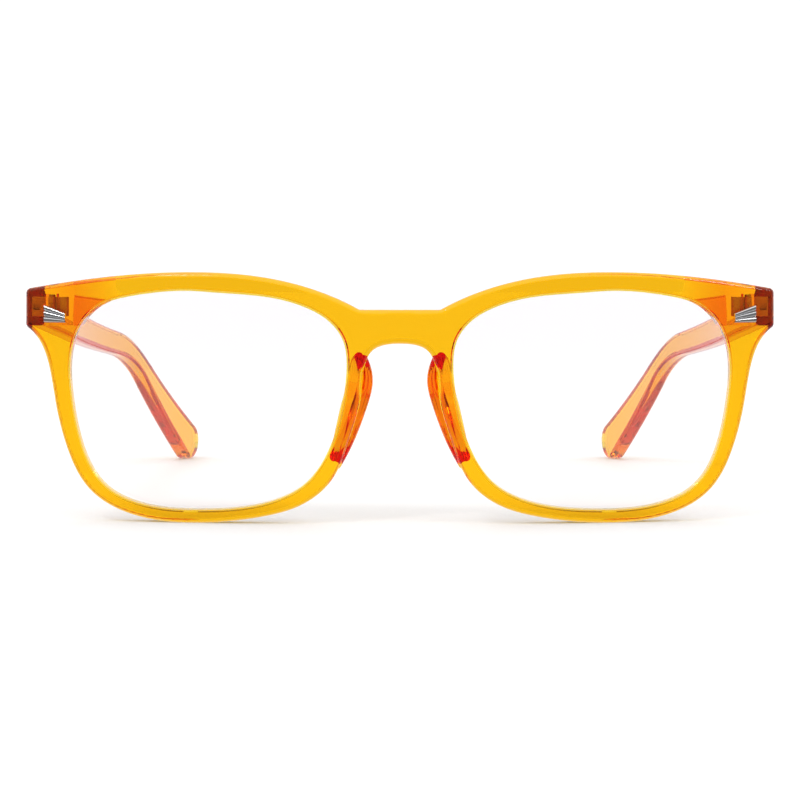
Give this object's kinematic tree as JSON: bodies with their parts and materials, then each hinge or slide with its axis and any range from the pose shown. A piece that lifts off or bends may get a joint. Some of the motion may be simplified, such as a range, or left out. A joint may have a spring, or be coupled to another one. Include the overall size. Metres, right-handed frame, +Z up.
{
  "type": "blue light glasses",
  "caption": "Amber see-through spectacles with soft square rims, a keyhole bridge, moulded nose pads, clear lenses, silver corner trim and folding temples.",
  "frame": {"origin": "on the table, under the middle of the open glasses' bounding box: midway between the end pieces, and midway between the front and the temple tips", "axes": "+X to the viewer's right as the front is looked at, +Y from the front back along the temples, +Z up"},
  "size_m": [0.14, 0.1535, 0.0463],
  "materials": {
    "amber_front": "polished, see-through amber",
    "amber_temple": "polished, see-through amber",
    "clear_lens": "polished, clear, with a faint blue-violet coating",
    "hinge_steel": "satin nickel",
    "screw_steel": "machined",
    "bright_trim": "polished silver"
  },
  "bodies": {
    "front": {"front_frame": "amber_front", "lens_right": "clear_lens", "lens_left": "clear_lens", "front_hinge_right": "hinge_steel", "front_hinge_left": "hinge_steel", "hinge_screw_right": "screw_steel", "hinge_screw_left": "screw_steel", "trim_right": "bright_trim", "trim_left": "bright_trim"},
    "right_temple": {"temple_right": "amber_temple", "temple_hinge_right": "amber_temple"},
    "left_temple": {"temple_left": "amber_temple", "temple_hinge_left": "amber_temple"}
  },
  "joints": [
    {"name": "right_temple_fold", "type": "hinge", "parent": "front", "child": "right_temple", "pos_m": [0.06495, -0.0618, 0.0398], "axis": [0, 0, 1], "range_deg": [0, 86]},
    {"name": "left_temple_fold", "type": "hinge", "parent": "front", "child": "left_temple", "pos_m": [-0.06495, -0.0618, 0.0398], "axis": [0, 0, -1], "range_deg": [0, 81.5]}
  ]
}
